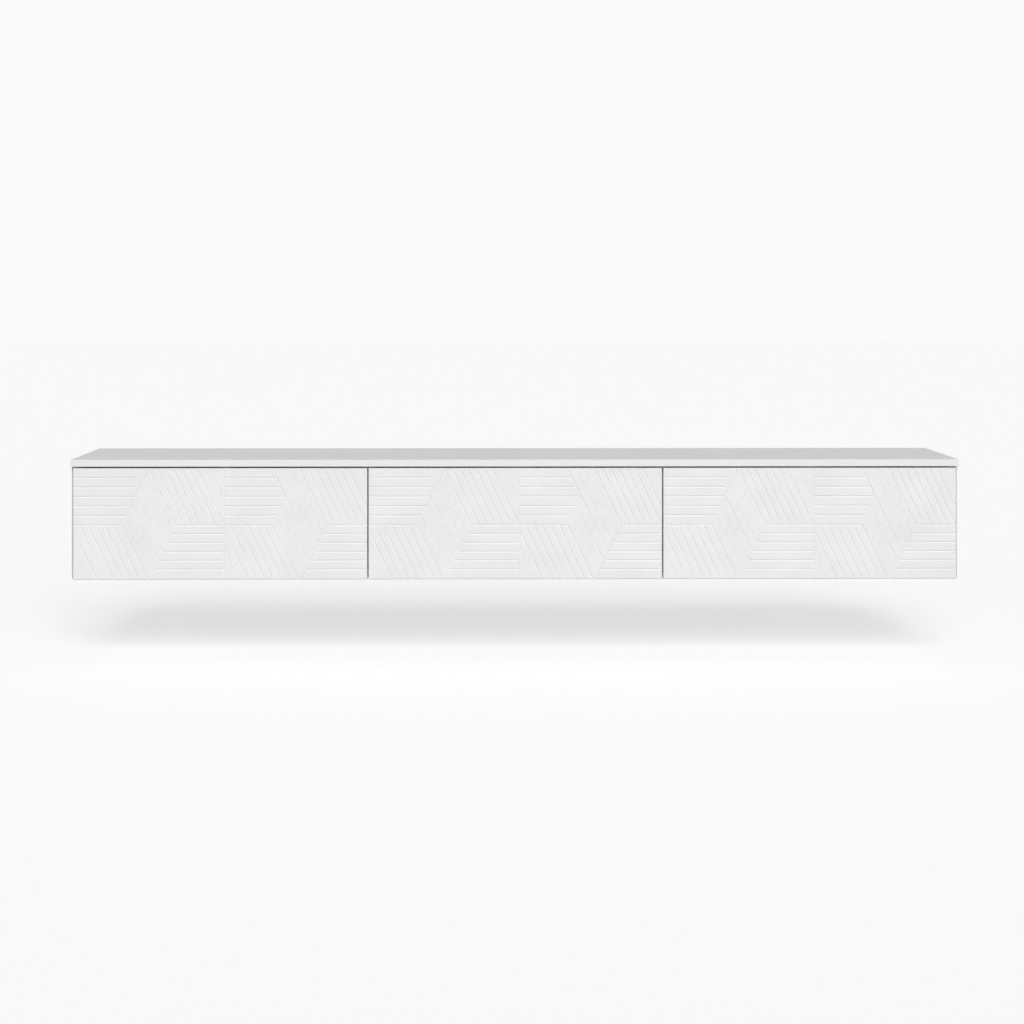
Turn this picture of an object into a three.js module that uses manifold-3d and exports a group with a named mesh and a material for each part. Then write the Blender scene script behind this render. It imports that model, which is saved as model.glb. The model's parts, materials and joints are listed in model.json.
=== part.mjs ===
// A wall-hung media console: a lacquered case with three carved drop-down flaps, hung on a steel rail.
// Lengths are in millimetres and angles in degrees. X runs along the console, Y points to the wall, Z up.
// The console is built with its underside at height 0 and the wall at depth 0. The last lines move the
// origin to the middle of the rail's back face, where the console meets the wall.

import * as THREE from "three";
import { mergeVertices } from "three/addons/utils/BufferGeometryUtils.js";
import Module from "manifold-3d";

const wasm = await Module();
wasm.setup();

// Case
const consoleLength = 2400;
const consoleDepth = 420;
const topThickness = 19;
const sideThickness = 22;
const partitionThickness = 25;
const bottomThickness = 19;
const backThickness = 8;
const wallVoid = 18; // free depth behind the back panels, for the rail and the cables
const boardEase = 1; // width of the eased edges
const seatGap = 0.2; // joint between boards, and under whatever is screwed on them

// Flaps
const flapHeight = 300;
const flapThickness = 19;
const flapSpacing = 4; // between neighbouring flaps
const flapEndReveal = 8; // from the case's end to the end of the outer flap
const flapStandoff = 3.5; // from the case's front edges to the flap's back
const shadowGap = 4; // between the flaps and the top panel

// Flap hinges
const pivotHeight = 7.5; // from the flap's lower edge to the hinge axis
const pivotSetback = 9.5; // from the flap's back to the hinge axis, inside the flap
const hingeInset = 95; // from the flap's end to the middle of the hinge

// Flap stays: the stud and the bracket's pivot lie on one circle round the hinge axis,
// so the slotted arm turns at exactly half the flap's rate.
const stayRadius = 120;
const studAngle = 35; // from upright, backwards
const openAngle = 90;
const stayStandoff = 13; // from the flap's back to the bracket's pivot

// Wall rail
const railDrop = 72; // from the case's top down to the rail's lower edge
const railWebHeight = 30;
const railThickness = 2;

// Values that follow from the sizes above
const caseHeight = flapHeight + shadowGap;
const flapFront = -consoleDepth;
const flapBack = flapFront + flapThickness;
const caseFront = flapBack + flapStandoff;
const flapLength = (consoleLength - 2 * flapEndReveal - 2 * flapSpacing) / 3;
const flapPitch = flapLength + flapSpacing;
const pivotDepth = flapBack - pivotSetback;
const floorHeight = bottomThickness + seatGap;
const ceilingHeight = caseHeight - seatGap;
const backFront = -wallVoid - backThickness;
const railBase = caseHeight - railDrop;
const railMiddle = railBase + railWebHeight / 2;
const bays = [
  {
    name: "left",
    flapMiddle: -flapPitch,
    low: -consoleLength / 2 + sideThickness,
    high: -flapPitch / 2 - partitionThickness / 2,
  },
  {
    name: "middle",
    flapMiddle: 0,
    low: -flapPitch / 2 + partitionThickness / 2,
    high: flapPitch / 2 - partitionThickness / 2,
  },
  {
    name: "right",
    flapMiddle: flapPitch,
    low: flapPitch / 2 + partitionThickness / 2,
    high: consoleLength / 2 - sideThickness,
  },
];

// Tools for making solids
const overrun = 1; // how far a cutter runs past the face it cuts
const weld = 1e-4;
const arcSteps = 1; // half the number of steps in each arc of an outline
const boreSides = 16;
const smallSides = 10;
const screwSides = 6;

/** The closed solid of a geometry, ready for joining and cutting. */
function toSolid(geometry) {
  const bare = geometry.clone();
  bare.deleteAttribute("normal");
  bare.deleteAttribute("uv");
  const merged = mergeVertices(bare, weld);
  return new wasm.Manifold(
    new wasm.Mesh({
      numProp: 3,
      vertProperties: merged.attributes.position.array,
      triVerts: new Uint32Array(merged.index.array),
    }),
  );
}

/** The flat-shaded geometry of a solid. */
function toGeometry(solid) {
  const mesh = solid.getMesh();
  const geometry = new THREE.BufferGeometry();
  geometry.setAttribute("position", new THREE.BufferAttribute(mesh.vertProperties, 3));
  geometry.setIndex(new THREE.BufferAttribute(mesh.triVerts, 1));
  const faceted = geometry.toNonIndexed();
  faceted.computeVertexNormals();
  return faceted;
}

/** One geometry from several that meet or cross. */
function join(...geometries) {
  return toGeometry(geometries.map(toSolid).reduce((whole, next) => whole.add(next)));
}

/** The first geometry with all the others cut out of it. */
function cut(body, ...cutters) {
  return toGeometry(cutters.map(toSolid).reduce((rest, next) => rest.subtract(next), toSolid(body)));
}

// A shape drawn for the x axis lies in (y, z), for the y axis in (z, x), and for the z axis in (x, y).
const xAxis = new THREE.Vector3(1, 0, 0);
const yAxis = new THREE.Vector3(0, 1, 0);
const zAxis = new THREE.Vector3(0, 0, 1);
const turnTo = {
  x: new THREE.Matrix4().makeBasis(yAxis, zAxis, xAxis),
  y: new THREE.Matrix4().makeBasis(zAxis, xAxis, yAxis),
  z: new THREE.Matrix4(),
};

/** A shape drawn out along an axis between two places, with the edges of both ends eased. */
function extrude(axis, shape, from, to, ease = 0) {
  const geometry = new THREE.ExtrudeGeometry(shape, {
    depth: to - from - 2 * ease,
    curveSegments: arcSteps,
    bevelEnabled: ease > 0,
    bevelThickness: ease,
    bevelSize: ease,
    bevelOffset: -ease,
    bevelSegments: 1,
  });
  geometry.translate(0, 0, from + ease);
  return geometry.applyMatrix4(turnTo[axis]);
}

/** A profile of [radius, place] points turned round an axis through the origin. */
function turn(axis, profile, sides) {
  const points = profile.map(([radius, place]) => new THREE.Vector2(radius, place));
  const geometry = new THREE.LatheGeometry(points, sides);
  if (axis === "x") geometry.rotateZ(-Math.PI / 2);
  if (axis === "z") geometry.rotateX(Math.PI / 2);
  return geometry;
}

function rectangle(lowU, lowV, highU, highV) {
  const shape = new THREE.Shape();
  shape.moveTo(lowU, lowV);
  shape.lineTo(highU, lowV);
  shape.lineTo(highU, highV);
  shape.lineTo(lowU, highV);
  return shape;
}

function roundedRectangle(lowU, lowV, highU, highV, radius) {
  const shape = new THREE.Shape();
  shape.absarc(highU - radius, lowV + radius, radius, -Math.PI / 2, 0);
  shape.absarc(highU - radius, highV - radius, radius, 0, Math.PI / 2);
  shape.absarc(lowU + radius, highV - radius, radius, Math.PI / 2, Math.PI);
  shape.absarc(lowU + radius, lowV + radius, radius, Math.PI, 1.5 * Math.PI);
  return shape;
}

function circle(u, v, radius, sides) {
  const points = [];
  for (let i = 0; i < sides; i += 1) {
    const angle = (2 * Math.PI * i) / sides;
    points.push(new THREE.Vector2(u + radius * Math.cos(angle), v + radius * Math.sin(angle)));
  }
  return new THREE.Shape(points);
}

function radians(degrees) {
  return (degrees * Math.PI) / 180;
}

/** A box between two corners, for cutting. */
function block(low, high) {
  return extrude("z", rectangle(low[0], low[1], high[0], high[1]), low[2], high[2]);
}

// Finishes
const lacquer = () => new THREE.MeshStandardMaterial({ color: 0xeeeded, roughness: 0.55, metalness: 0 });
const steel = () => new THREE.MeshStandardMaterial({ color: 0xb4b6b9, roughness: 0.35, metalness: 1 });
const zinc = () => new THREE.MeshStandardMaterial({ color: 0x9fa1a3, roughness: 0.45, metalness: 1 });
const greyPlastic = () => new THREE.MeshStandardMaterial({ color: 0xc9cacb, roughness: 0.5, metalness: 0 });
const darkPlastic = () => new THREE.MeshStandardMaterial({ color: 0x3a3a3b, roughness: 0.5, metalness: 0 });

const consoleGroup = new THREE.Group();

/** Adds a named piece to the console. */
function place(name, geometry, material, x = 0, y = 0, z = 0) {
  const mesh = new THREE.Mesh(geometry, material);
  mesh.name = name;
  mesh.position.set(x, y, z);
  consoleGroup.add(mesh);
  return mesh;
}

// Boards of the case

const backGrooveDepth = 5; // how far the back panels enter the boards round them

/** The cutter for the groove that holds the back panels, between two places across an upright. */
function uprightGroove(low, high) {
  return block(
    [low, backFront - seatGap, -overrun],
    [high, -wallVoid + seatGap, caseHeight + overrun],
  );
}

function makeTopPanel() {
  return extrude(
    "z",
    rectangle(-consoleLength / 2, -consoleDepth, consoleLength / 2, 0),
    caseHeight,
    caseHeight + topThickness,
    boardEase,
  );
}

/** The left side panel: its outer face is at 0 and its inner face at its thickness. */
function makeSidePanel() {
  const panel = extrude("x", rectangle(caseFront, 0, 0, ceilingHeight), 0, sideThickness, boardEase);
  return cut(panel, uprightGroove(sideThickness - backGrooveDepth, sideThickness + overrun));
}

function makeBottomPanel() {
  const end = consoleLength / 2 - sideThickness - seatGap;
  const panel = extrude(
    "z",
    rectangle(-end, caseFront, end, -wallVoid),
    0,
    bottomThickness,
    boardEase,
  );
  const groove = block(
    [-consoleLength, backFront - seatGap, bottomThickness - backGrooveDepth],
    [consoleLength, overrun, bottomThickness + overrun],
  );
  return cut(panel, groove);
}

function makePartition() {
  const half = partitionThickness / 2;
  const panel = extrude(
    "x",
    rectangle(caseFront, floorHeight, -wallVoid, ceilingHeight),
    -half,
    half,
    boardEase,
  );
  const leftRebate = block(
    [-half - overrun, backFront - seatGap, -overrun],
    [-half + backGrooveDepth, overrun, caseHeight + overrun],
  );
  const rightRebate = block(
    [half - backGrooveDepth, backFront - seatGap, -overrun],
    [half + overrun, overrun, caseHeight + overrun],
  );
  return cut(panel, leftRebate, rightRebate);
}

// Wall rail and cabinet hangers

const railEndClearance = 8; // from the rail's end to the side panel
const railLipOffset = 6; // free depth behind the raised lip
const railLipHeight = 12;
const railHoleRadius = 3.5;
const railHolePairs = 4; // holes on each side of the middle, evenly spaced
const railHoleInset = 190; // from the rail's end to the last hole

const hangerWidth = 18;
const hangerDepth = 48;
const hangerHeight = 58;
const hangerDrop = 6; // from the case's top to the hanger's top
const hangerCorner = 10; // slope cut off the lower front corner
const hookWidth = 12;
const hookHeight = 5;
const hookThickness = 3.2;
const hookReach = 8; // how far the hook hangs down behind the lip
const hookPlay = 0.3;
const hookWindow = 4; // clearance of the opening in the back panel round the hook
const adjusterRadius = 3;
const adjusterDepth = 4;
const adjusterSpacing = 22;

const lipTop = railBase + railWebHeight + railLipHeight;
const hookBottom = lipTop + hookPlay;

function makeWallRail() {
  const half = consoleLength / 2 - sideThickness - railEndClearance;
  const lipBack = -railLipOffset;
  const lipFront = lipBack - railThickness;
  const webTop = railBase + railWebHeight;
  const profile = new THREE.Shape();
  profile.moveTo(0, railBase);
  profile.lineTo(0, webTop);
  profile.lineTo(lipBack, webTop);
  profile.lineTo(lipBack, lipTop);
  profile.lineTo(lipFront, lipTop);
  profile.lineTo(lipFront, webTop - railThickness);
  profile.lineTo(-railThickness, webTop - railThickness);
  profile.lineTo(-railThickness, railBase);
  const holes = [];
  for (let i = 0; i < railHolePairs; i += 1) {
    const across = ((i + 0.5) / (railHolePairs - 0.5)) * (half - railHoleInset);
    for (const x of [-across, across]) {
      holes.push(
        extrude("y", circle(railMiddle, x, railHoleRadius, screwSides), -railThickness - overrun, overrun),
      );
    }
  }
  return cut(extrude("x", profile, -half, half), ...holes);
}

/** A cabinet hanger beside an upright whose inner face is at 0, reaching to its right. */
function makeHanger() {
  const top = caseHeight - hangerDrop;
  const bottom = top - hangerHeight;
  const back = backFront - seatGap;
  const front = back - hangerDepth;
  const bodyProfile = new THREE.Shape();
  bodyProfile.moveTo(front + hangerCorner, bottom);
  bodyProfile.lineTo(back, bottom);
  bodyProfile.lineTo(back, top);
  bodyProfile.lineTo(front, top);
  bodyProfile.lineTo(front, bottom + hangerCorner);
  const body = extrude("x", bodyProfile, seatGap, hangerWidth, boardEase);
  const fingerFront = -railLipOffset + hookPlay;
  const fingerBack = fingerFront + hookThickness;
  const hookTop = hookBottom + hookHeight;
  const hookProfile = new THREE.Shape();
  hookProfile.moveTo(back - overrun, hookBottom);
  hookProfile.lineTo(fingerFront, hookBottom);
  hookProfile.lineTo(fingerFront, lipTop - hookReach);
  hookProfile.lineTo(fingerBack, lipTop - hookReach);
  hookProfile.lineTo(fingerBack, hookTop - hookThickness / 2);
  hookProfile.lineTo(fingerBack - hookThickness / 2, hookTop);
  hookProfile.lineTo(back - overrun, hookTop);
  const hookLow = (hangerWidth - hookWidth) / 2;
  const hook = extrude("x", hookProfile, hookLow, hookLow + hookWidth);
  const middle = (top + bottom + hangerCorner) / 2;
  const adjusters = [-0.5, 0.5].map((side) =>
    extrude(
      "y",
      circle(middle + side * adjusterSpacing, hangerWidth / 2, adjusterRadius, screwSides),
      front - overrun,
      front + adjusterDepth,
    ),
  );
  return cut(join(body, hook), ...adjusters);
}

// Back panels and their cable grommets

const grommetHeight = 110; // of the cable outlet's middle
const grommetRadius = 31.5;
const grommetWall = 2;
const grommetFlangeWidth = 6;
const grommetFlangeThickness = 2.5;
const grommetTail = 2; // how far the tube passes the back panel
const grommetPlay = 0.4;
const grommetSides = 16;

/** A back panel between two uprights, with windows for the hangers at the ends named. */
function makeBackPanel(bay, hasLeftHanger, hasRightHanger) {
  const low = bay.low - backGrooveDepth + seatGap;
  const high = bay.high + backGrooveDepth - seatGap;
  const panel = block(
    [low, backFront, bottomThickness - backGrooveDepth + seatGap],
    [high, -wallVoid, ceilingHeight],
  );
  const windowReach = hangerWidth + hookWindow;
  const window = (from, to) =>
    block(
      [from, backFront - overrun, hookBottom - hookWindow],
      [to, -wallVoid + overrun, hookBottom + hookHeight + hookWindow],
    );
  const cutters = [
    extrude(
      "y",
      circle(grommetHeight, bay.flapMiddle, grommetRadius + grommetPlay, grommetSides),
      backFront - overrun,
      -wallVoid + overrun,
    ),
  ];
  if (hasLeftHanger) cutters.push(window(low - overrun, bay.low + windowReach));
  if (hasRightHanger) cutters.push(window(bay.high - windowReach, high + overrun));
  return cut(panel, ...cutters);
}

/** A grommet round the origin: the back panel's front face is at 0. */
function makeGrommet() {
  const flangeRadius = grommetRadius + grommetFlangeWidth;
  const flangeFront = -seatGap - grommetFlangeThickness;
  return turn(
    "y",
    [
      [grommetRadius - grommetWall, flangeFront],
      [flangeRadius - grommetFlangeThickness, flangeFront],
      [flangeRadius, -seatGap],
      [grommetRadius, -seatGap],
      [grommetRadius, backThickness + grommetTail],
      [grommetRadius - grommetWall, backThickness + grommetTail],
      [grommetRadius - grommetWall, flangeFront],
    ],
    grommetSides,
  );
}

// Flap hinges: a cup let into the flap carries the pin, and a bent arm on the bottom panel turns on it

const cupRadius = 17.3;
const cupWall = 0.8;
const cupDepth = 13.3;
const cupPlay = 0.2; // round the cup in its bore
const cupEdge = 3; // from the flap's lower edge to the bore
const rimWidth = 1.7;
const rimThickness = 1;
const wingLength = 56;
const wingHeight = 15;
const wingCorner = 4;
const wingHoleSpacing = 45;
const screwHoleRadius = 2.2;
const pinRadius = 1.4;
const pinPlay = 0.1;
const hingeArmWidth = 7;
const hingeArmThickness = 2.4;
const eyeRadius = 2.7;
const armInnerBend = 1.5;
const plateSetback = 2; // from the case's front edge to the plate
const plateLength = 46;
const plateWidth = 38;
const plateTaper = 12;
const ribWidth = 9;
const ribHeight = 4;
const ribMargin = 8; // from the plate's ends to the raised rib

const boreRadius = cupRadius + cupPlay;
const cupHeight = cupEdge + boreRadius;

/** A hinge cup: the flap's back is at depth 0, and the cup's middle is at height 0. */
function makeHingeCup() {
  const rimBack = seatGap + rimThickness;
  const inner = cupRadius - cupWall;
  const cup = turn(
    "y",
    [
      [0, -cupDepth],
      [cupRadius, -cupDepth],
      [cupRadius, seatGap],
      [cupRadius + rimWidth, seatGap],
      [cupRadius + rimWidth, rimBack],
      [inner, rimBack],
      [inner, -cupDepth + cupWall],
      [0, -cupDepth + cupWall],
    ],
    boreSides,
  );
  const wings = extrude(
    "y",
    roundedRectangle(-wingHeight / 2, -wingLength / 2, wingHeight / 2, wingLength / 2, wingCorner),
    seatGap,
    rimBack,
  );
  const mouth = extrude("y", circle(0, 0, inner + cupWall / 2, boreSides), 0, rimBack + overrun);
  const screws = [-0.5, 0.5].map((side) =>
    extrude("y", circle(0, side * wingHoleSpacing, screwHoleRadius, screwSides), 0, rimBack + overrun),
  );
  const pinDrop = pivotHeight - cupHeight;
  const pinHalf = Math.sqrt((cupRadius - cupWall / 2) ** 2 - (pinRadius - pinDrop) ** 2);
  const pin = extrude("x", circle(-pivotSetback, pinDrop, pinRadius, smallSides), -pinHalf, pinHalf);
  return join(cup, cut(wings, mouth, ...screws), pin);
}

/** A hinge arm with its plate: the hinge axis runs through the origin. */
function makeHingeArm() {
  const half = hingeArmThickness / 2;
  const under = floorHeight - pivotHeight;
  const over = under + hingeArmThickness;
  const outerBend = armInnerBend + hingeArmThickness;
  const plateFront = caseFront - pivotDepth + plateSetback;
  const plateBack = plateFront + plateLength;
  const neck = new THREE.Shape();
  neck.moveTo(half, 0);
  neck.lineTo(half, under - armInnerBend);
  neck.absarc(half + armInnerBend, under - armInnerBend, armInnerBend, Math.PI, Math.PI / 2, true);
  neck.lineTo(plateFront + plateTaper, under);
  neck.lineTo(plateFront + plateTaper, over);
  neck.absarc(-half + outerBend, over - outerBend, outerBend, Math.PI / 2, Math.PI, false);
  neck.lineTo(-half, 0);
  const plate = new THREE.Shape();
  plate.moveTo(-hingeArmWidth / 2, plateFront);
  plate.lineTo(hingeArmWidth / 2, plateFront);
  plate.lineTo(plateWidth / 2, plateFront + plateTaper);
  plate.lineTo(plateWidth / 2, plateBack - wingCorner);
  plate.lineTo(plateWidth / 2 - wingCorner, plateBack);
  plate.lineTo(-plateWidth / 2 + wingCorner, plateBack);
  plate.lineTo(-plateWidth / 2, plateBack - wingCorner);
  plate.lineTo(-plateWidth / 2, plateFront + plateTaper);
  const ribTop = over + ribHeight;
  const rib = new THREE.Shape();
  rib.moveTo(plateFront + ribMargin, over - half);
  rib.lineTo(plateBack - ribMargin, over - half);
  rib.lineTo(plateBack - ribMargin, over);
  rib.lineTo(plateBack - ribMargin - ribHeight, ribTop);
  rib.lineTo(plateFront + ribMargin + ribHeight, ribTop);
  rib.lineTo(plateFront + ribMargin, over);
  const solid = join(
    extrude("x", circle(0, 0, eyeRadius, smallSides), -hingeArmWidth / 2, hingeArmWidth / 2),
    extrude("x", neck, -hingeArmWidth / 2, hingeArmWidth / 2),
    extrude("z", plate, under, over),
    extrude("x", rib, -ribWidth / 2, ribWidth / 2),
  );
  const eyeBore = extrude(
    "x",
    circle(0, 0, pinRadius + pinPlay, smallSides),
    -hingeArmWidth / 2 - overrun,
    hingeArmWidth / 2 + overrun,
  );
  const holeAcross = (ribWidth + plateWidth) / 4;
  const screwPlace = plateFront + (plateTaper + plateLength) / 2;
  const screws = [-holeAcross, holeAcross].map((x) =>
    extrude("z", circle(x, screwPlace, screwHoleRadius, screwSides), under - overrun, over + overrun),
  );
  return cut(solid, eyeBore, ...screws);
}

// Flap stays

const stayWidth = 16;
const stayThickness = 2.5;
const stayOffset = 4; // from the upright to the arm
const stayPlay = 0.5; // sideways play of the arm
const studRadius = 3;
const studHeadRadius = 5.5;
const studHeadThickness = 2;
const studFlangeRadius = 8;
const studFlangeThickness = 3;
const slotPlay = 0.2;
const rivetRadius = 3;
const rivetHeadRadius = 5;
const rivetHeadThickness = 1.3;
const earThickness = 2.5;
const bracketHeight = 30;
const bracketReach = 26; // of the bracket's foot along the flap
const bracketFoot = 2.5;
const bracketHoleSpacing = 18;
const bracketCorner = 3;

const headOffset = stayOffset + stayThickness + stayPlay;
const bracketBack = pivotSetback + stayStandoff; // from the hinge axis back to the bracket's pivot
const bracketRise = Math.sqrt(stayRadius ** 2 - bracketBack ** 2);
const bracketLean = THREE.MathUtils.radToDeg(Math.asin(bracketBack / stayRadius));
const studBack = stayRadius * Math.sin(radians(studAngle));
const studRise = stayRadius * Math.cos(radians(studAngle));
const closedReach = 2 * stayRadius * Math.sin(radians(studAngle - bracketLean) / 2);
const openReach = 2 * stayRadius * Math.sin(radians(studAngle - bracketLean + openAngle) / 2);
const stayTilt = Math.atan2(studRise - bracketRise, studBack - bracketBack);

/** A round-ended slot between two places along U, as an outline. */
function slotOutline(fromU, toU, halfWidth) {
  const outline = new THREE.Shape();
  for (const [place, first] of [[toU, -Math.PI / 2], [fromU, Math.PI / 2]]) {
    for (let i = 0; i < 3; i += 1) {
      const angle = first + (i * Math.PI) / 3;
      outline.absarc(place, 0, halfWidth, angle, angle + Math.PI / 3);
    }
  }
  return outline;
}

/** A stay arm with its pivot at the origin, lying along Y, from thickness 0 up along X. */
function makeStayArm() {
  const slotHalf = studRadius + slotPlay;
  const outline = slotOutline(0, openReach + stayWidth / 2, stayWidth / 2);
  outline.holes.push(slotOutline(closedReach, openReach, slotHalf));
  outline.holes.push(circle(0, 0, rivetRadius + slotPlay, smallSides));
  return extrude("x", outline, 0, stayThickness);
}

/** A stay bracket for the left end of a flap: its pivot is at height and depth 0, the upright at 0. */
function makeStayBracket() {
  const footFront = -stayStandoff + seatGap;
  const halfHeight = bracketHeight / 2;
  const ear = new THREE.Shape();
  ear.moveTo(footFront, -halfHeight);
  ear.absarc(0, 0, stayWidth / 2, -Math.PI / 2, 0);
  ear.absarc(0, 0, stayWidth / 2, 0, Math.PI / 2);
  ear.lineTo(footFront, halfHeight);
  const foot = roundedRectangle(
    -halfHeight,
    headOffset,
    halfHeight,
    headOffset + bracketReach,
    bracketCorner,
  );
  const pinStart = stayOffset - stayPlay - rivetHeadThickness;
  const rivet = turn(
    "x",
    [
      [0, pinStart],
      [rivetHeadRadius, pinStart],
      [rivetHeadRadius, pinStart + rivetHeadThickness],
      [rivetRadius, pinStart + rivetHeadThickness],
      [rivetRadius, headOffset + earThickness / 2],
      [0, headOffset + earThickness / 2],
    ],
    smallSides,
  );
  const screwPlace = headOffset + (earThickness + bracketReach) / 2;
  const screws = [-0.5, 0.5].map((side) =>
    extrude(
      "y",
      circle(side * bracketHoleSpacing, screwPlace, screwHoleRadius, screwSides),
      footFront - overrun,
      footFront + bracketFoot + overrun,
    ),
  );
  const solid = join(
    extrude("x", ear, headOffset, headOffset + earThickness),
    extrude("y", foot, footFront, footFront + bracketFoot),
    rivet,
  );
  return cut(solid, ...screws);
}

/** A stay stud on an upright whose face is at 0, pointing along X. */
function makeStayStud() {
  const flangeEnd = seatGap + studFlangeThickness;
  return turn(
    "x",
    [
      [0, seatGap],
      [studFlangeRadius, seatGap],
      [studFlangeRadius, flangeEnd - boardEase],
      [studFlangeRadius - boardEase, flangeEnd],
      [studRadius, flangeEnd],
      [studRadius, headOffset],
      [studHeadRadius, headOffset],
      [studHeadRadius, headOffset + studHeadThickness],
      [0, headOffset + studHeadThickness],
    ],
    smallSides,
  );
}

// Push latches under the top panel

const latchDrop = 14; // from the top panel to the plunger's axis
const latchSetback = 6; // from the case's front edge to the housing
const latchLength = 78;
const latchWidth = 18;
const latchFlangeWidth = 40;
const latchFlangeThickness = 4.8;
const latchHoleInset = 12; // from the housing's ends to the fixing screws
const plungerRadius = 5;
const plungerPlay = 0.3;
const plungerLength = 62;
const tipRadius = 7;
const tipThickness = 4;
const strikeRadius = 9;
const strikeThickness = 1.5;
const strikePlay = 0.3;
const strikeHoleRadius = 1.8;

const latchHeight = caseHeight - latchDrop;
const housingFront = caseFront + latchSetback;

/** A latch housing with the plunger's axis at height 0. */
function makeLatchBody() {
  const top = latchDrop - seatGap;
  const shoulder = top - latchFlangeThickness;
  const half = latchWidth / 2;
  const profile = new THREE.Shape();
  profile.moveTo(-half + boardEase, half);
  profile.lineTo(-half, half - boardEase);
  profile.lineTo(-half, -half + boardEase);
  profile.lineTo(-half + boardEase, -half);
  profile.lineTo(shoulder, -half);
  profile.lineTo(shoulder, -latchFlangeWidth / 2);
  profile.lineTo(top, -latchFlangeWidth / 2);
  profile.lineTo(top, latchFlangeWidth / 2);
  profile.lineTo(shoulder, latchFlangeWidth / 2);
  profile.lineTo(shoulder, half);
  const bore = extrude(
    "y",
    circle(0, 0, plungerRadius + plungerPlay, smallSides),
    housingFront - overrun,
    housingFront + latchLength - tipThickness,
  );
  const screwAcross = (latchWidth + latchFlangeWidth) / 4;
  const screws = [
    [-screwAcross, housingFront + latchHoleInset],
    [screwAcross, housingFront + latchLength - latchHoleInset],
  ].map(([x, y]) =>
    extrude("z", circle(x, y, screwHoleRadius, screwSides), shoulder - overrun, top + overrun),
  );
  return cut(extrude("y", profile, housingFront, housingFront + latchLength), bore, ...screws);
}

/** A latch plunger, whose tip all but touches the strike plate when the flap is shut. */
function makePlunger() {
  const tipFront = flapBack + seatGap + strikeThickness + strikePlay;
  return turn(
    "y",
    [
      [0, tipFront],
      [tipRadius - boardEase, tipFront],
      [tipRadius, tipFront + boardEase],
      [tipRadius, tipFront + tipThickness],
      [plungerRadius, tipFront + tipThickness],
      [plungerRadius, tipFront + plungerLength],
      [0, tipFront + plungerLength],
    ],
    smallSides,
  );
}

/** A strike plate: the flap's back is at 0. */
function makeStrike() {
  const back = seatGap + strikeThickness;
  return turn(
    "y",
    [
      [strikeHoleRadius, seatGap],
      [strikeRadius, seatGap],
      [strikeRadius, back - strikeThickness / 2],
      [strikeRadius - strikeThickness / 2, back],
      [strikeHoleRadius, back],
      [strikeHoleRadius, seatGap],
    ],
    smallSides,
  );
}

// Relief: two tiles side by side, each with four bands of slats round a lozenge of nested chevrons

const tileLength = 406.5;
const reliefMiddle = 146.5; // height of the line where the bands meet
const reliefFoot = 3; // height of the last slat's lower edge
const slantAngle = 25.5; // of the sloping grooves, from upright
const slatCount = 6; // in each band
const slantPitch = 22.7; // between the sloping grooves of the lower left band
const cornerSlats = 2; // slats that turn the lozenge's left corner without a groove between
const chevronCount = 4; // nested from each side corner of the lozenge
const slatGroove = { width: 5.4, depth: 1.5 };
const chevronGroove = { width: 3.6, depth: 1 };

/** The sideways run of a sloping groove over a height. */
function slantRun(height) {
  return height * Math.tan(radians(slantAngle));
}

/** The height of the slat line a number of steps above the middle line, or below it. */
function slatLine(steps) {
  const reach = steps < 0 ? reliefMiddle - reliefFoot : flapHeight - reliefMiddle;
  return reliefMiddle + (steps / slatCount) * reach;
}

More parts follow.
